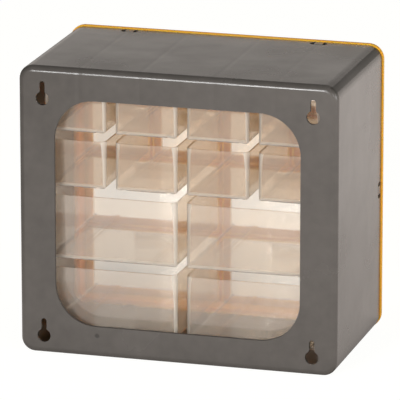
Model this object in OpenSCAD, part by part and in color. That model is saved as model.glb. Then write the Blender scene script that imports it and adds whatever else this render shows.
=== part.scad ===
// Parts bin cabinet. A moulded casing with a large rear window holds a snap-in front
// frame, and twelve clear drawers slide in the frame's guide sleeves.
// Millimetres, +Z up, the drawers face -Y, and the origin is on the floor under the
// middle of the whole cabinet. Rows count from the top, columns from the left as seen
// from the front.

/* [Drawer cells] */
// Clear width of a small drawer's cell in the frame
cell_w = 51.25; // [40:0.25:70]
// Clear height of a small drawer's cell
small_cell_h = 38.6; // [30:0.2:50]
// Clear height of a large drawer's cell
large_cell_h = 52.2; // [40:0.2:70]
// Width of the bars between neighbouring cells
bar = 5; // [4:0.25:8]
// Width of the frame from the casing's side to the first cell
border_side = 15; // [12:0.5:22]
// Height of the frame above the top cells and below the bottom cells
border_end = 14.7; // [12:0.1:22]
// Corner radius of the cells
cell_corner_r = 1.5; // [0.8:0.1:1.6]

/* [Casing] */
// Depth of the casing from its front rim to its back face
case_d = 135; // [100:1:180]
// Radius of the casing's four long corners
case_corner_r = 11; // [8:0.5:12]
// Thickness of the casing's walls and back
case_wall = 2.4; // [1.8:0.1:3]
// Rounding of the edge around the back face
back_edge_r = 5; // [1:0.25:5.5]

/* [Rear window] */
// Width of the back plate left on each side of the window
window_side = 28.5; // [26:0.5:45]
// Height of the back plate left above and below the window
window_end = 24.3; // [23:0.1:45]
// Corner radius of the window
window_corner_r = 32; // [6:1:40]

/* [Wall keyholes] */
// Diameter of the opening that passes over a screw head
keyhole_head_d = 10.5; // [8:0.25:12]
// Width of the slot that takes the screw's shank
keyhole_slot_w = 4.3; // [3:0.1:6]
// Height from the head opening's centre to the centre of the slot's round end
keyhole_rise = 11.5; // [8:0.25:14]
// Distance from the casing's side to a keyhole's centre line
keyhole_side = 19; // [16:0.5:19.5]
// Height of the lower head openings above the casing's bottom
keyhole_low = 14.1; // [11:0.1:18]
// Distance from the casing's top to the upper head openings
keyhole_high = 24.9; // [20:0.1:30]

/* [Front frame] */
// Depth of the frame that stands in front of the casing's rim
flange_d = 5; // [4:0.25:8]
// Overhang of the frame past the casing's sides and top
flange_over = 1; // [0.5:0.1:2]
// Thickness of the frame's front face
face_t = 2.4; // [1.8:0.1:3.4]
// Rounding of the frame's outer front edge
frame_edge_r = 2; // [0.5:0.25:3]
// Depth of the guide sleeves behind the frame's front face
sleeve_d = 19.5; // [15:0.5:30]
// Wall thickness of the guide sleeves
sleeve_wall = 1.6; // [1.2:0.1:1.9]
// Depth that the frame's skirt reaches into the casing
skirt_d = 5; // [4:0.25:6]
// Thickness of the skirt
skirt_t = 1.8; // [1.4:0.1:2.4]
// Clearance between the skirt and the casing's wall
skirt_clear = 0.25; // [0.15:0.05:0.4]

/* [Snap tongues] */
// Width of the slot that frees a snap tongue
clip_slot_w = 13; // [11:0.5:18]
// Length of that slot along the casing's depth
clip_slot_d = 8; // [7.5:0.25:11]
// Corner radius of that slot
clip_slot_r = 3; // [1:0.25:3.5]
// Casing left in front of the slot
clip_rim = 1.2; // [1:0.1:2]
// Width of the snap tongue
tongue_w = 6.6; // [5:0.2:8]
// Gap behind the tongue's free end
tongue_gap = 1; // [0.6:0.1:1.2]
// Height of the barb under the tongue's free end
barb_h = 1.6; // [1:0.1:2]
// Distance of the top and bottom tongues from the cabinet's middle
clip_x = 76; // [40:1:90]

/* [Guide ribs] */
// Width of the ribs on a cell's floor
rib_w = 2.6; // [2:0.1:4]
// Height of the ribs
rib_h = 1; // [0.6:0.1:1.4]
// Distance of a small cell's ribs from its sides
small_rib_in = 8.1; // [7.5:0.1:12]
// Distance of a large cell's ribs from its sides
large_rib_in = 20.5; // [12:0.5:36]

/* [Drawers] */
// Clearance on each side of a drawer in its cell
side_clear = 0.5; // [0.35:0.05:0.8]
// Clearance above a drawer's side walls
top_clear = 0.8; // [0.7:0.05:1.2]
// Clearance under a drawer's floor, and between its grooves and the ribs' tops
floor_clear = 0.3; // [0.25:0.05:0.5]
// Clearance on each side of a rib in its groove
rib_clear = 0.45; // [0.3:0.05:0.7]
// Thickness of a drawer's side and back walls
drawer_wall = 1.3; // [1:0.1:1.8]
// Thickness of a drawer's floor
drawer_floor = 1.5; // [1.2:0.1:2]
// Distance from the casing's back face to the drawers' backs
drawer_rear_gap = 12; // [8:0.5:30]
// Amount that each side wall leans in from the front to the back
rear_taper = 0.4; // [0.2:0.1:1.5]
// Amount that each side wall leans in from the rim to the floor
floor_taper = 0.6; // [0.2:0.1:1.5]
// Amount that the back wall leans in from the rim to the floor
back_lean = 1; // [0.2:0.1:2]
// Radius of the upright corners at a drawer's back
drawer_back_r = 5.5; // [2.5:0.25:6]
// Radius along a drawer's lower edges
drawer_bottom_r = 3.5; // [2.5:0.25:4.5]
// Diameter of the round recess that the mould's gate leaves under a drawer's floor
gate_d = 5; // [3:0.5:8]
// Depth of that recess
gate_depth = 0.4; // [0.2:0.1:0.8]

/* [Drawer fronts] */
// Thickness of the front panel
panel_t = 2.2; // [1.8:0.1:3]
// Gap between neighbouring front panels
panel_gap = 1.7; // [1:0.1:2.5]
// Gap between the front panel and the frame's face when shut
panel_seat = 0.3; // [0.2:0.05:0.5]
// Corner radius of the front panels
panel_corner_r = 2.5; // [1.5:0.25:4]
// Rounding of the front panel's outer edge
panel_edge_r = 0.8; // [0.4:0.1:1.2]

/* [Finger pulls] */
// How far the pull stands out of the front panel
pull_out = 9; // [7.5:0.25:14]
// Thickness of the pull
pull_t = 1.8; // [1.4:0.1:2.4]
// Length of the pull's straight lip
pull_lip = 4.5; // [2:0.25:8]
// Width of a small drawer's pull
small_pull_w = 26; // [16:1:36]
// Width of a large drawer's pull
large_pull_w = 44; // [24:1:70]
// Distance from the front panel's top edge to the pull's top
pull_down = 9; // [4:0.5:12]

/* [Hidden] */

$fn = 48;

// How far a cutting shape runs past the face that it cuts
over = 1;

// Smallest rounding inside the casing's back edges, where its wall is thick
least_inner_r = 0.5;

// The rows from the top: two rows of small drawers over two rows of large ones
small_rows = 2;
large_rows = 2;
rows = small_rows + large_rows;
small_columns = 4;
large_columns = 2;

// Outline of the casing, which follows from its cells
case_w = small_columns * cell_w + (small_columns - 1) * bar + 2 * border_side;
case_h = small_rows * small_cell_h + large_rows * large_cell_h
    + (rows - 1) * bar + 2 * border_end;
large_cell_w = (case_w - 2 * border_side - (large_columns - 1) * bar) / large_columns;

// Places along the depth, from the back face to the tips of the pulls
total_d = case_d + flange_d + panel_seat + panel_t + pull_out;
back_y = total_d / 2;
rim_y = back_y - case_d;
face_y = rim_y - flange_d;
panel_back_y = face_y - panel_seat;
panel_face_y = panel_back_y - panel_t;
drawer_rear_y = back_y - drawer_rear_gap;
sleeve_end_y = face_y + sleeve_d;

// Grooves under a drawer's floor
groove_w = rib_w + 2 * rib_clear;
groove_h = rib_h;

// Middle of a drawer's length, where its gate mark is
gate_y = (panel_face_y + drawer_rear_y) / 2;

function is_small(row) = row <= small_rows;
function columns(row) = is_small(row) ? small_columns : large_columns;
function row_cell_w(row) = is_small(row) ? cell_w : large_cell_w;
function row_cell_h(row) = is_small(row) ? small_cell_h : large_cell_h;
function rib_in(row) = is_small(row) ? small_rib_in : large_rib_in;
function pull_w(row) = is_small(row) ? small_pull_w : large_pull_w;

// Middle of a cell across the cabinet, and the height of its floor
function cell_x(row, col) = (col - (columns(row) + 1) / 2) * (row_cell_w(row) + bar);
function cell_z(row) = border_end
    + (is_small(row) ? large_rows : rows - row) * (large_cell_h + bar)
    + (is_small(row) ? small_rows - row : 0) * (small_cell_h + bar);

// Rectangle with round corners, centred on the origin
module rounded_rect(w, h, r) {
    square([w - 2 * r, h], center = true);
    square([w, h - 2 * r], center = true);
    for (sx = [-1, 1], sy = [-1, 1])
        translate([sx * (w / 2 - r), sy * (h / 2 - r)]) circle(r);
}

// Trapezoid that stands on its narrow side, with that side's corners rounded
module tapered_outline(top_w, bottom_w, h, r) {
    lean = atan((top_w - bottom_w) / 2 / h);
    arc_x = bottom_w / 2 - r * (1 / cos(lean) - tan(lean));
    side_x = arc_x + r * cos(lean);
    side_y = r - r * sin(lean);
    polygon([
        [-arc_x, 0], [arc_x, 0], [side_x, side_y], [top_w / 2, h],
        [-top_w / 2, h], [-side_x, side_y]
    ]);
    for (s = [-1, 1])
        translate([s * arc_x, r]) circle(r);
}

// Extrudes an upright outline, drawn as seen from the front, between two depths
module along_y(y0, y1) {
    translate([0, y1, 0]) rotate([90, 0, 0]) linear_extrude(y1 - y0) children();
}

// Extrudes a side outline, drawn with the depth to the right, across the middle
module across_x(w) {
    rotate([90, 0, 90]) linear_extrude(w, center = true) children();
}

// Section of a plate's edge with its upper corner rounded
module edge_section(w, t, r) {
    square([w, t - r]);
    square([w - r, t]);
    translate([w - r, t - r]) circle(r);
}

// Plate with round corners and with a rounded edge around its upper face
module soft_plate(w, h, t, corner_r, edge_r) {
    inner_w = w - 2 * corner_r;
    inner_h = h - 2 * corner_r;
    translate([-inner_w / 2, -inner_h / 2, 0]) cube([inner_w, inner_h, t]);
    for (mx = [0, 1], my = [0, 1])
        mirror([mx, 0, 0]) mirror([0, my, 0])
            translate([inner_w / 2, inner_h / 2, 0])
                rotate_extrude(angle = 90) edge_section(corner_r, t, edge_r);
    for (mx = [0, 1])
        mirror([mx, 0, 0])
            translate([inner_w / 2, inner_h / 2, 0]) rotate([90, 0, 0])
                linear_extrude(inner_h) edge_section(corner_r, t, edge_r);
    for (my = [0, 1])
        mirror([0, my, 0])
            translate([-inner_w / 2, inner_h / 2, 0]) rotate([90, 0, 90])
                linear_extrude(inner_w) edge_section(corner_r, t, edge_r);
}

// Casing -----------------------------------------------------------------------

// Head opening and upright slot of one wall keyhole
module keyhole() {
    circle(d = keyhole_head_d);
    translate([-keyhole_slot_w / 2, 0]) square([keyhole_slot_w, keyhole_rise]);
    translate([0, keyhole_rise]) circle(d = keyhole_slot_w);
}

// Puts a snap tongue's shapes at its six places round the casing's front rim:
// x runs along the wall, y goes into the casing and z is the outward normal
module at_clips() {
    for (s = [-1, 1]) {
        translate([s * clip_x, rim_y, case_h]) children();
        translate([s * clip_x, rim_y, 0]) rotate([0, 180, 0]) children();
        translate([s * case_w / 2, rim_y, case_h / 2]) rotate([0, s * 90, 0]) children();
    }
}

module clip_slot() {
    translate([0, clip_rim + clip_slot_d / 2, -case_wall - over])
        linear_extrude(case_wall + 2 * over)
            rounded_rect(clip_slot_w, clip_slot_d, clip_slot_r);
}

// Tongue that hangs from the rim, with a barb that locks behind the frame's skirt
module clip_tongue() {
    tip_y = clip_rim + clip_slot_d - tongue_gap;
    barb_y = skirt_d + skirt_clear;
    translate([-tongue_w / 2, clip_rim / 2, -case_wall])
        cube([tongue_w, tip_y - clip_rim / 2, case_wall]);
    across_x(tongue_w)
        polygon([
            [barb_y, -case_wall / 2], [barb_y, -case_wall - barb_h],
            [tip_y, -case_wall], [tip_y, -case_wall / 2]
        ]);
}

module casing() {
    inner_r = case_corner_r - case_wall;
    inner_edge_r = max(back_edge_r - case_wall, least_inner_r);
    color("#6B6863") {
        difference() {
            translate([0, rim_y, case_h / 2]) rotate([-90, 0, 0])
                soft_plate(case_w, case_h, case_d, case_corner_r, back_edge_r);
            translate([0, rim_y - over, case_h / 2]) rotate([-90, 0, 0])
                soft_plate(
                    case_w - 2 * case_wall, case_h - 2 * case_wall,
                    case_d - case_wall + over, inner_r, inner_edge_r
                );
            along_y(back_y - case_wall - over, back_y + over) {
                translate([0, case_h / 2])
                    rounded_rect(
                        case_w - 2 * window_side, case_h - 2 * window_end, window_corner_r
                    );
                for (s = [-1, 1], z = [keyhole_low, case_h - keyhole_high])
                    translate([s * (case_w / 2 - keyhole_side), z]) keyhole();
            }
            at_clips() clip_slot();
        }
        at_clips() clip_tongue();
    }
}

// Front frame ------------------------------------------------------------------

// Repeats an upright outline at every cell: child 0 for small ones, child 1 for large
module at_cells() {
    for (row = [1 : rows], col = [1 : columns(row)])
        translate([cell_x(row, col), cell_z(row) + row_cell_h(row) / 2])
            if (is_small(row)) children(0);
            else children(1);
}

// Outline of all cells, grown by a margin
module cell_outlines(grow) {
    at_cells() {
        rounded_rect(cell_w + 2 * grow, small_cell_h + 2 * grow, cell_corner_r + grow);
        rounded_rect(large_cell_w + 2 * grow, large_cell_h + 2 * grow, cell_corner_r + grow);
    }
}

// Outline of the skirt, inset from its fit in the casing
module skirt_outline(inset) {
    side = case_wall + skirt_clear + inset;
    translate([0, case_h / 2])
        rounded_rect(case_w - 2 * side, case_h - 2 * side, case_corner_r - side);
}

module front_frame() {
    frame_h = case_h + flange_over;
    color("#F7C23B") {
        difference() {
            union() {
                difference() {
                    union() {
                        translate([0, rim_y, frame_h / 2]) rotate([90, 0, 0])
                            soft_plate(
                                case_w + 2 * flange_over, frame_h, flange_d,
                                case_corner_r + flange_over, frame_edge_r
                            );
                        along_y(rim_y - over, rim_y + skirt_d) skirt_outline(0);
                    }
                    along_y(face_y + face_t, rim_y + skirt_d + over) skirt_outline(skirt_t);
                }
                along_y(face_y + face_t - over, sleeve_end_y) cell_outlines(sleeve_wall);
            }
            along_y(face_y - over, sleeve_end_y + over) cell_outlines(0);
        }
        // Guide ribs, sunk half a sleeve wall into each cell's floor
        for (row = [1 : rows], col = [1 : columns(row)], s = [-1, 1])
            translate([
                cell_x(row, col) + s * (row_cell_w(row) / 2 - rib_in(row)) - rib_w / 2,
                face_y,
                cell_z(row) - sleeve_wall / 2
            ])
                cube([rib_w, sleeve_d, rib_h + sleeve_wall / 2]);
    }
}

// Drawers ----------------------------------------------------------------------

// Tub with its floor at z = 0: tapered to the back and to the floor, with round
// upright corners at the back and round lower edges
module tub(w, d, h, back_r, bottom_r) {
    intersection() {
        along_y(panel_back_y, panel_back_y + d)
            tapered_outline(w, w - 2 * floor_taper, h, bottom_r);
        translate([0, panel_back_y + d, 0]) mirror([0, 1, 0])
            linear_extrude(h) tapered_outline(w, w - 2 * rear_taper, d, back_r);
        translate([0, panel_back_y, 0])
            across_x(w) tapered_outline(2 * d, 2 * (d - back_lean), h, bottom_r);
    }
}

// Straight strips under a drawer's floor, one for each rib of its cell
module strips(row, w, h) {
    for (s = [-1, 1])
        translate([
            s * (row_cell_w(row) / 2 - rib_in(row)) - w / 2,
            panel_back_y - over,
            -over
        ])
            cube([w, drawer_rear_y - panel_back_y + 2 * over, h + over]);
}

// Hooked finger pull: a quarter round hood that ends in a straight rounded lip
module finger_pull(w) {
    inner_r = pull_out - pull_t;
    mirror([0, 1, 0]) across_x(w) {
        intersection() {
            difference() {
                circle(pull_out);
                circle(inner_r);
            }
            translate([-panel_t / 2, 0]) square(pull_out + panel_t);
        }
        translate([inner_r, -pull_lip]) square([pull_t, pull_lip]);
        translate([inner_r + pull_t / 2, -pull_lip]) circle(d = pull_t);
    }
}

module drawer(row, col) {
    tub_w = row_cell_w(row) - 2 * side_clear;
    tub_h = row_cell_h(row) - floor_clear - top_clear;
    tub_d = drawer_rear_y - panel_back_y;
    panel_w = row_cell_w(row) + bar - panel_gap;
    panel_h = row_cell_h(row) + bar - panel_gap;
    panel_mid_z = row_cell_h(row) / 2 - floor_clear;
    color("#D9CBBC", 0.45)
    translate([cell_x(row, col), 0, cell_z(row) + floor_clear]) {
        difference() {
            union() {
                difference() {
                    tub(tub_w, tub_d, tub_h, drawer_back_r, drawer_bottom_r);
                    translate([0, 0, drawer_floor])
                        tub(
                            tub_w - 2 * drawer_wall, tub_d - drawer_wall,
                            tub_h - drawer_floor + over,
                            drawer_back_r - drawer_wall, drawer_bottom_r - drawer_wall
                        );
                }
                // Floor raised over the grooves, so that it keeps its thickness
                intersection() {
                    tub(tub_w, tub_d, tub_h, drawer_back_r, drawer_bottom_r);
                    strips(row, groove_w + 2 * drawer_wall, groove_h + drawer_floor);
                }
                translate([0, panel_back_y, panel_mid_z]) rotate([90, 0, 0])
                    soft_plate(panel_w, panel_h, panel_t, panel_corner_r, panel_edge_r);
            }
            intersection() {
                strips(row, groove_w, groove_h);
                translate([-tub_w / 2, panel_back_y, -over])
                    cube([tub_w, tub_d + over, groove_h + over]);
            }
            translate([0, gate_y, -over]) cylinder(d = gate_d, h = gate_depth + over);
        }
        translate([0, panel_face_y, panel_mid_z + panel_h / 2 - pull_down - pull_out])
            finger_pull(pull_w(row));
    }
}

casing();
front_frame();
drawer(1, 1);  // small_drawer_row1_col1
drawer(1, 2);  // small_drawer_row1_col2
drawer(1, 3);  // small_drawer_row1_col3
drawer(1, 4);  // small_drawer_row1_col4
drawer(2, 1);  // small_drawer_row2_col1
drawer(2, 2);  // small_drawer_row2_col2
drawer(2, 3);  // small_drawer_row2_col3
drawer(2, 4);  // small_drawer_row2_col4
drawer(3, 1);  // large_drawer_row3_left
drawer(3, 2);  // large_drawer_row3_right
drawer(4, 1);  // large_drawer_row4_left
drawer(4, 2);  // large_drawer_row4_right
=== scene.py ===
import math

import bmesh
import bpy
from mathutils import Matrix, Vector


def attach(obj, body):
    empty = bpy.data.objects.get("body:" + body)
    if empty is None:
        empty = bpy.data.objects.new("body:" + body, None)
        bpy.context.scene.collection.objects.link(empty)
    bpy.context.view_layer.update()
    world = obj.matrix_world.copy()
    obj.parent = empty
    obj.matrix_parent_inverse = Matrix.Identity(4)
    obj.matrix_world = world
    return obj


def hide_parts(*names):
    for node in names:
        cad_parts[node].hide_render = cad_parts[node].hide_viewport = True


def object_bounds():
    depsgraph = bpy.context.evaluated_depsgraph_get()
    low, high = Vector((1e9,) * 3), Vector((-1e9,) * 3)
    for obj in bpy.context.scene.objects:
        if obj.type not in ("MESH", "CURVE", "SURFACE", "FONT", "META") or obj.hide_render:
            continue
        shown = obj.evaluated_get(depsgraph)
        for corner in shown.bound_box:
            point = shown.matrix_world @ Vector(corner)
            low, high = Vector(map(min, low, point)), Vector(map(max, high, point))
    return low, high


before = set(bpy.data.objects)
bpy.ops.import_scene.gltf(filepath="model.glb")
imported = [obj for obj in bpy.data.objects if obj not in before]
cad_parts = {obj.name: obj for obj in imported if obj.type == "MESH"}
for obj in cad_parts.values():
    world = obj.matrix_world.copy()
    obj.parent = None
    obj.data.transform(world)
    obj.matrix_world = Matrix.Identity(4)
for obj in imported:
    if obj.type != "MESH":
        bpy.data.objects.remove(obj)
cad_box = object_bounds()
scene = bpy.context.scene


# Camera. A long lens looks down on the cabinet's back, from behind and from the side
# that is on the left when the cabinet is seen from the front.
CAMERA_AZIMUTH = math.radians(196.10)
CAMERA_ELEVATION = math.radians(15.36)
CAMERA_DISTANCE = 3.830
CAMERA_AIM = Vector((0.0035, 0.0, 0.1094))
CAMERA_LENS = 448.0
SENSOR_WIDTH = 36.0
CAMERA_REACH = 50.0

scene.view_settings.view_transform = "Standard"
lens = bpy.data.cameras.new("camera")
lens.lens = CAMERA_LENS
lens.sensor_width = SENSOR_WIDTH
lens.clip_end = CAMERA_REACH
camera = bpy.data.objects.new("camera", lens)
scene.collection.objects.link(camera)
sight = Vector((
    math.sin(CAMERA_AZIMUTH) * math.cos(CAMERA_ELEVATION),
    -math.cos(CAMERA_AZIMUTH) * math.cos(CAMERA_ELEVATION),
    math.sin(CAMERA_ELEVATION),
))
camera.location = CAMERA_AIM + CAMERA_DISTANCE * sight
camera.rotation_euler = sight.to_track_quat("Z", "Y").to_euler()
scene.camera = camera


# Studio. A white room whose walls give the glossy plastic something to reflect. Its
# ceiling is dim and it grows darker towards +X. The camera sees it as plain white, also
# through the clear drawers.
WHITE = (0.99, 0.99, 0.975, 1.0)
BACKDROP_LIGHT = 1.0
ROOM = (1.0, 0.925, 0.86, 1.0)
ROOM_LIGHT = 0.8
CEILING_LIGHT = 0.15
CEILING_STARTS = 0.17
CEILING_FULL = 0.60
FAR_SIDE = 0.25
FAR_SIDE_STARTS = 0.3
FAR_SIDE_FULL = 0.9


class Wire:
    """One socket in a tree of nodes. Arithmetic on it adds Math nodes."""

    def __init__(self, tree, socket=None):
        self.tree = tree
        self.socket = socket

    def node(self, kind, settings=None, sockets=None, output=0):
        """Adds a node and returns one of its outputs."""
        made = self.tree.nodes.new(kind)
        for name, value in (settings or {}).items():
            setattr(made, name, value)
        for name, value in (sockets or {}).items():
            if isinstance(value, Wire):
                self.tree.links.new(value.socket, made.inputs[name])
            else:
                made.inputs[name].default_value = value
        return Wire(self.tree, made.outputs[output] if made.outputs else None)

    def math(self, operation, first, second):
        return self.node("ShaderNodeMath", {"operation": operation}, {0: first, 1: second})

    def __add__(self, other):
        return self.math("ADD", self, other)

    __radd__ = __add__

    def __sub__(self, other):
        return self.math("SUBTRACT", self, other)

    def __rsub__(self, other):
        return self.math("SUBTRACT", other, self)

    def __mul__(self, other):
        return self.math("MULTIPLY", self, other)

    __rmul__ = __mul__

    def __gt__(self, other):
        return self.math("GREATER_THAN", self, other)

    def __lt__(self, other):
        return self.math("LESS_THAN", self, other)

    def __abs__(self):
        return self.math("ABSOLUTE", self, 0.0)


def tree_of(owner):
    """Empty tree of nodes of a material or a world."""
    owner.use_nodes = True
    owner.node_tree.nodes.clear()
    return Wire(owner.node_tree)


def eased(value, start, end, low=0.0, high=1.0):
    """Goes smoothly from low to high while the value goes from start to end."""
    return value.node(
        "ShaderNodeMapRange", {"interpolation_type": "SMOOTHSTEP"},
        {"Value": value, "From Min": start, "From Max": end, "To Min": low, "To Max": high},
    )


def parts_of(vector):
    """The X, Y and Z of a vector."""
    return [vector.node("ShaderNodeSeparateXYZ", sockets={"Vector": vector}, output=axis) for axis in "XYZ"]


def ray(wires, kind):
    """1 for rays of one kind, else 0."""
    return wires.node("ShaderNodeLightPath", output=f"Is {kind} Ray")


def seen_white(wires):
    """1 for rays that come from the camera or through clear plastic, else 0."""
    return wires.math("MAXIMUM", ray(wires, "Camera"), ray(wires, "Transmission"))


studio = bpy.data.worlds.new("studio")
scene.world = studio
wires = tree_of(studio)
sideward, _, upward = parts_of(wires.node("ShaderNodeTexCoord", output="Generated"))
walls = eased(upward, CEILING_STARTS, CEILING_FULL, ROOM_LIGHT, CEILING_LIGHT)
room_light = walls * eased(sideward, FAR_SIDE_STARTS, FAR_SIDE_FULL, 1.0, FAR_SIDE)
room = wires.node("ShaderNodeBackground", sockets={"Color": ROOM, "Strength": room_light})
backdrop = wires.node("ShaderNodeBackground", sockets={"Color": WHITE, "Strength": BACKDROP_LIGHT})
both = wires.node("ShaderNodeMixShader", sockets={0: seen_white(wires), 1: room, 2: backdrop})
wires.node("ShaderNodeOutputWorld", sockets={"Surface": both})


# Floor. White paper that the cabinet stands on. Most of its light is even, so that it is
# white for the camera, and the rest is real and takes the cabinet's shadow. Reflections show it warmer, and
# in them and through clear plastic its even light carries a painted shade close to the cabinet.
FLOOR_SIZE = 12.0
FLOOR_PAPER = (0.9, 0.9, 0.89, 1.0)
FLOOR_WARM = (1.0, 0.91, 0.85, 1.0)
FLOOR_LIGHT = 1.13
FLOOR_EVEN = 0.86
FLOOR_EVEN_CLEAR = 0.80
CONTACT_SHADE = 0.4
CONTACT_STARTS = -0.005
CONTACT_ENDS = 0.02
NEAR_SHADE = 0.8
NEAR_SHADE_CLEAR = 0.64
OPEN_FLOOR = 1.14
OPEN_FROM = 0.6
OPEN_FROM_CLEAR = 0.2
DIM_SIDE_STARTS = 0.15
DIM_SIDE_FULL = 0.5


def blended(factor, first, second):
    """First colour where the factor is 0, second where it is 1."""
    return factor.node("ShaderNodeMix", {"data_type": "RGBA"}, {0: factor, 6: first, 7: second}, output=2)


form = bmesh.new()
bmesh.ops.create_grid(form, x_segments=1, y_segments=1, size=FLOOR_SIZE / 2)
floor_mesh = bpy.data.meshes.new("floor")
form.to_mesh(floor_mesh)
form.free()
floor = bpy.data.objects.new("floor", floor_mesh)
scene.collection.objects.link(floor)
paper = bpy.data.materials.new("floor paper")
wires = tree_of(paper)
sideward, forward, _ = parts_of(wires.node("ShaderNodeTexCoord", output="Object"))
away = wires.math("MAXIMUM", abs(sideward) - cad_box[1][0], abs(forward) - cad_box[1][1])
clear_ray = ray(wires, "Transmission")
# Painted shade: close to the cabinet the floor's even light grows darker, in reflections and through clear
# plastic.
contact = eased(away, CONTACT_STARTS, CONTACT_ENDS, CONTACT_SHADE, 1.0)
shade = contact * eased(
    away, 0.0, OPEN_FROM - clear_ray * (OPEN_FROM - OPEN_FROM_CLEAR),
    NEAR_SHADE - clear_ray * (NEAR_SHADE - NEAR_SHADE_CLEAR), OPEN_FLOOR,
)
dim_side = eased(sideward, DIM_SIDE_STARTS, DIM_SIDE_FULL, 1.0, FAR_SIDE)
room_glow = wires.math("MAXIMUM", clear_ray, dim_side) * shade
glow = (room_glow + ray(wires, "Camera") * (1.0 - room_glow)) * FLOOR_LIGHT
tint = blended(seen_white(wires), FLOOR_WARM, WHITE)
real = wires.node("ShaderNodeBsdfDiffuse", sockets={"Color": FLOOR_PAPER})
even = wires.node("ShaderNodeEmission", sockets={"Color": tint, "Strength": glow})
share = FLOOR_EVEN - clear_ray * (FLOOR_EVEN - FLOOR_EVEN_CLEAR)
both = wires.node("ShaderNodeMixShader", sockets={0: share, 1: real, 2: even})
wires.node("ShaderNodeOutputMaterial", sockets={"Surface": both})
floor_mesh.materials.append(paper)


# Lamps. Three soft square ones stand behind the cabinet and above it. The strong one is on
# its +X side, and the two weaker ones light the -X wall that the camera sees.
def soft_lamp(name, place, size, light):
    """Square lamp at a place, turned to the cabinet's middle."""
    glow = bpy.data.lights.new(name, "AREA")
    glow.size = size
    glow.energy = light
    lamp = bpy.data.objects.new(name, glow)
    lamp.location = place
    lamp.rotation_euler = (Vector(place) - CAMERA_AIM).to_track_quat("Z", "Y").to_euler()
    scene.collection.objects.link(lamp)


soft_lamp("main lamp", place=(0.53, 2.46, 0.78), size=0.6, light=36.0)
soft_lamp("side lamp", place=(-1.59, 1.9, 0.68), size=0.35, light=7.0)
soft_lamp("side fill", place=(-2.4, 0.7, 0.5), size=1.0, light=14.0)


# Casing. One thin box moulded in dark grey plastic with a satin skin: four walls, a back
# plate with the window and keyholes, and six snap tongues cut into its front rim. The
# walls sag a little, faint sink lines run back from the tongues, and a gate mark shows.
CASING_EDGE = 0.00008
CASING_GREY = (0.116, 0.107, 0.098, 1.0)
CASING_DARK = (0.052, 0.0485, 0.045, 1.0)
SATIN = 0.09
SATIN_UNEVEN = 0.3
SKIN_STRENGTH = 0.35
SKIN_HEIGHT = 0.00003
CROWN_MIDDLE = 0.01
CROWN = -0.12
WAVE = 0.0004
STREAK = 0.00008
FLOW_PULL = (1.0, 0.08, 1.0)
STREAK_PULL = (1.0, 0.3, 1.0)
SINK_X = (0.077, 0.029)
SINK = 0.00008
SINK_WIDTH = 0.003
WALL_SKIN = 0.0015
BACK_SKIN = 0.00225
# Painted shade: a darker grey for the casing's inside and the outer face of its long rounded corners.
INSIDE_SHADE_GREY = (0.045, 0.042, 0.036, 1.0)
INSIDE_MATT = 0.25
LIP_X = 0.1
LIP_LOW = 0.015
LIP_HIGH = 0.21
LIP_MATT = 0.5
LIP_FLAT = 0.999
LIP_TURNED = 0.97
GATE_PLACE = (0.0635, 0.0757, 0.0171)
GATE_RADIUS = 0.0018
GATE_SOFT = 0.4
GATE_GREY = (0.03, 0.028, 0.026, 1.0)
GATE_DARKENING = 0.8
GATE_DEPTH = 0.0002
WELD = 1e-6
SAME_PLANE = math.radians(0.5)
SHARP = math.radians(38)
EDGE_STEPS = 2


def moulded(node, name, edge):
    """Copy of a CAD node's shape, its sharp edges rounded as a mould leaves them."""
    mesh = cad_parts[node].data.copy()
    mesh.name = name
    mesh.materials.clear()
    form = bmesh.new()
    form.from_mesh(mesh)
    bmesh.ops.remove_doubles(form, verts=form.verts, dist=WELD)
    bmesh.ops.dissolve_limit(form, angle_limit=SAME_PLANE, verts=form.verts, edges=form.edges)
    for face in form.faces:
        face.smooth = True
    for line in form.edges:
        line.smooth = True
    form.to_mesh(mesh)
    form.free()
    piece = bpy.data.objects.new(name, mesh)
    scene.collection.objects.link(piece)
    bevel = piece.modifiers.new("soft edges", "BEVEL")
    bevel.width = edge
    bevel.segments = EDGE_STEPS
    bevel.limit_method = "ANGLE"
    bevel.angle_limit = SHARP
    bevel.use_clamp_overlap = True
    weighted = piece.modifiers.new("flat faces", "WEIGHTED_NORMAL")
    weighted.keep_sharp = True
    bpy.context.view_layer.objects.active = piece
    piece.select_set(True)
    for step in ("soft edges", "flat faces"):
        bpy.ops.object.modifier_apply(modifier=step)
    piece.select_set(False)
    return piece


def noise(place, scale, detail):
    """Cloudy value between 0 and 1, with features of about 1 / scale metres."""
    return place.node("ShaderNodeTexNoise", sockets={"Vector": place, "Scale": scale, "Detail": detail})


def pulled(place, stretch):
    """Place drawn out along the axes whose share in the stretch is small."""
    return place.node("ShaderNodeVectorMath", {"operation": "MULTIPLY"}, {0: place, 1: stretch})


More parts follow.
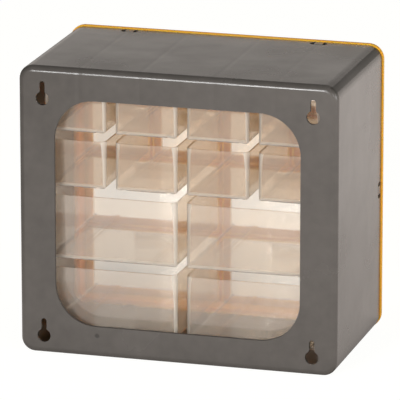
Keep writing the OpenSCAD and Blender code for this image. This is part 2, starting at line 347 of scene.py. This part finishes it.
def casing_plastic(box):
    """Satin grey, matt inside and painted darker there as shade, for a casing with the given corners."""
    plastic = bpy.data.materials.new("casing grey")
    wires = tree_of(plastic)
    place = wires.node("ShaderNodeTexCoord", output="Object")
    across, along, up = parts_of(place)
    mottle = noise(place, scale=14.0, detail=5.0)
    wave = noise(place, scale=22.0, detail=2.0)
    skin = noise(place, scale=1400.0, detail=2.0)
    flow = noise(pulled(place, FLOW_PULL), scale=110.0, detail=4.0)
    streak = noise(pulled(place, STREAK_PULL), scale=50.0, detail=3.0)

    # The gate mark: a small round spot painted darker, and sunk a little by the bump below.
    from_gate = wires.node(
        "ShaderNodeVectorMath", {"operation": "DISTANCE"}, {0: place, 1: GATE_PLACE}, output="Value",
    )
    gate = eased(from_gate, GATE_RADIUS * (1 + GATE_SOFT), GATE_RADIUS * (1 - GATE_SOFT), 0.0, GATE_DARKENING)

    # What lies deeper than the skin counts as inside, and gets painted shade: a darker grey and a matt
    # finish.
    # That takes in the outer face of the rounded long corners too, so they show a painted dark band.
    (_, _, low), (right, back, high) = box
    between = (abs(across) < right - WALL_SKIN) * (up > low + WALL_SKIN) * (up < high - WALL_SKIN)
    inside = between * (along < back - BACK_SKIN)
    colour = blended(mottle * 0.5 + flow * 0.5, CASING_DARK, CASING_GREY)
    colour = blended(gate, colour, GATE_GREY)
    colour = blended(inside, colour, INSIDE_SHADE_GREY)

    # The lip is the window's rim, where it turns away from the back plate's face.
    _, backward, _ = parts_of(wires.node("ShaderNodeTexCoord", output="Normal"))
    lip = eased(backward, LIP_FLAT, LIP_TURNED) * (abs(across) < LIP_X) * (up > LIP_LOW) * (up < LIP_HIGH)
    roughness = mottle * SATIN_UNEVEN + inside * INSIDE_MATT + lip * LIP_MATT + SATIN

    from_middle = along - CROWN_MIDDLE
    height = from_middle * from_middle * CROWN + wave * WAVE + streak * STREAK - gate * GATE_DEPTH
    for middle in SINK_X:
        beside = SINK_WIDTH - abs(abs(across) - middle)
        height = height - wires.math("MAXIMUM", beside, 0.0) * (SINK / SINK_WIDTH)
    sag = wires.node("ShaderNodeBump", sockets={"Height": height, "Distance": 1.0})
    grain = wires.node("ShaderNodeBump", sockets={
        "Height": skin, "Strength": SKIN_STRENGTH, "Distance": SKIN_HEIGHT, "Normal": sag,
    })
    surface = wires.node("ShaderNodeBsdfPrincipled", sockets={
        "Base Color": colour, "Roughness": roughness, "IOR": 1.5, "Normal": grain,
    })
    wires.node("ShaderNodeOutputMaterial", sockets={"Surface": surface})
    return plastic


casing = moulded("casing", "casing_shell", CASING_EDGE)
corners = [vertex.co for vertex in casing.data.vertices]
casing_box = [[pick(corner[axis] for corner in corners) for axis in range(3)] for pick in (min, max)]
casing.data.materials.append(casing_plastic(casing_box))
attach(casing, "cabinet")
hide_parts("casing")


# Front frame. One glossy yellow moulding that snaps into the casing: a lattice with a
# guide sleeve behind each cell, two ribs on each cell's floor and a skirt round the rim.
# Its thin walls let light through, and so they glow orange behind the clear drawers.
FRAME_EDGE = 0.0002
FRAME_YELLOW = (1.0, 0.74, 0.05, 1.0)
FRAME_DEEP = (1.0, 0.64, 0.04, 1.0)
FRAME_GLOW = (1.0, 0.60, 0.14, 1.0)
FRAME_CLEAR = 0.5
GLOSS = 0.2
GLOSS_UNEVEN = 0.1


def frame_plastic():
    """Glossy yellow that lets part of the light through."""
    plastic = bpy.data.materials.new("frame yellow")
    wires = tree_of(plastic)
    mottle = noise(wires.node("ShaderNodeTexCoord", output="Object"), scale=25.0, detail=3.0)
    outer = wires.node("ShaderNodeBsdfPrincipled", sockets={
        "Base Color": blended(mottle, FRAME_DEEP, FRAME_YELLOW),
        "Roughness": mottle * GLOSS_UNEVEN + GLOSS, "IOR": 1.5,
        "Subsurface Weight": 0.4, "Subsurface Radius": (1.0, 0.6, 0.25), "Subsurface Scale": 0.003,
    })
    let_through = wires.node("ShaderNodeBsdfTranslucent", sockets={"Color": FRAME_GLOW})
    surface = wires.node("ShaderNodeMixShader", sockets={0: FRAME_CLEAR, 1: outer, 2: let_through})
    wires.node("ShaderNodeOutputMaterial", sockets={"Surface": surface})
    return plastic


front = moulded("front_frame", "front_lattice", FRAME_EDGE)
front.data.materials.append(frame_plastic())
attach(front, "cabinet")
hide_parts("front_frame")


# Drawers. Each is one clear moulding with a faint warm haze: a tub that narrows to the
# back and to the floor, a front panel and a hooked finger pull. Its rounded rear edges catch the light and
# look milky, and its side walls carry a painted orange glow.
# Diffuse light and shadows pass through it.
DRAWER_EDGE = 0.00025
SMALL_TINT = (0.83, 0.745, 0.65, 1.0)
LARGE_TINT = (0.875, 0.825, 0.765, 1.0)
SIDE_GLOW_TINT = (0.88, 0.785, 0.68, 1.0)
SIDE_STARTS = 0.95
SIDE_FULL = 0.99
SIDE_COAT_LOSS = 0.3
FLOOR_COAT_LOSS = 0.45
CLEAR_ROUGH = 0.10
CLEAR_UNEVEN = 0.12
RIPPLE_STRENGTH = 0.2
RIPPLE_HEIGHT = 0.0004
MILKY = (0.66, 0.62, 0.56, 1.0)
MILKY_ROUGH = 0.25
MILKY_SHARE = 0.45
ROUND_STARTS = 0.999
ROUND_FULL = 0.95
REAR_STARTS = 0.05
REAR_FULL = 0.3
REAR_UPWARD = 0.2
LIGHT_LEFT = (0.97, 0.93, 0.86, 1.0)


def clear_plastic(name, tint):
    """Clear, with a tint, a painted orange glow on its side walls, and milky where a drawer's rear edges
    are rounded.
    """
    plastic = bpy.data.materials.new(name)
    wires = tree_of(plastic)
    flow = noise(wires.node("ShaderNodeTexCoord", output="Object"), scale=30.0, detail=2.0)
    ripple = wires.node("ShaderNodeBump", sockets={
        "Height": flow, "Strength": RIPPLE_STRENGTH, "Distance": RIPPLE_HEIGHT,
    })
    across, along, up = parts_of(wires.node("ShaderNodeTexCoord", output="Normal"))
    # Walls that face sideways take a more orange tint: a painted glow.
    sideways = eased(abs(across), SIDE_STARTS, SIDE_FULL)
    glassy = wires.node("ShaderNodeBsdfPrincipled", sockets={
        "Base Color": blended(sideways, tint, SIDE_GLOW_TINT),
        "Roughness": flow * CLEAR_UNEVEN + CLEAR_ROUGH, "IOR": 1.03, "Transmission Weight": 0.88,
        "Coat Weight": 1.0 - sideways * SIDE_COAT_LOSS - abs(up) * FLOOR_COAT_LOSS,
        "Coat Roughness": 0.04, "Normal": ripple,
    })
    flattest = wires.math("MAXIMUM", abs(across), wires.math("MAXIMUM", abs(along), abs(up)))
    rounded = eased(flattest, ROUND_STARTS, ROUND_FULL, 0.0, MILKY_SHARE)
    to_rear = eased(wires.math("MAXIMUM", abs(along), up * REAR_UPWARD), REAR_STARTS, REAR_FULL)
    milky = wires.node("ShaderNodeBsdfPrincipled", sockets={
        "Base Color": MILKY, "Roughness": MILKY_ROUGH, "Normal": ripple,
    })
    body = wires.node("ShaderNodeMixShader", sockets={0: rounded * to_rear, 1: glassy, 2: milky})
    light_passes = wires.math("MAXIMUM", ray(wires, "Shadow"), ray(wires, "Diffuse"))
    open_way = wires.node("ShaderNodeBsdfTransparent", sockets={"Color": LIGHT_LEFT})
    surface = wires.node("ShaderNodeMixShader", sockets={0: light_passes, 1: body, 2: open_way})
    wires.node("ShaderNodeOutputMaterial", sockets={"Surface": surface})
    return plastic


small_clear = clear_plastic("small drawer clear", SMALL_TINT)
large_clear = clear_plastic("large drawer clear", LARGE_TINT)
for node in [name for name in sorted(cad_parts) if "drawer" in name]:
    drawer = moulded(node, node + "_clear", DRAWER_EDGE)
    drawer.data.materials.append(small_clear if node.startswith("small") else large_clear)
    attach(drawer, node)
    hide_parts(node)
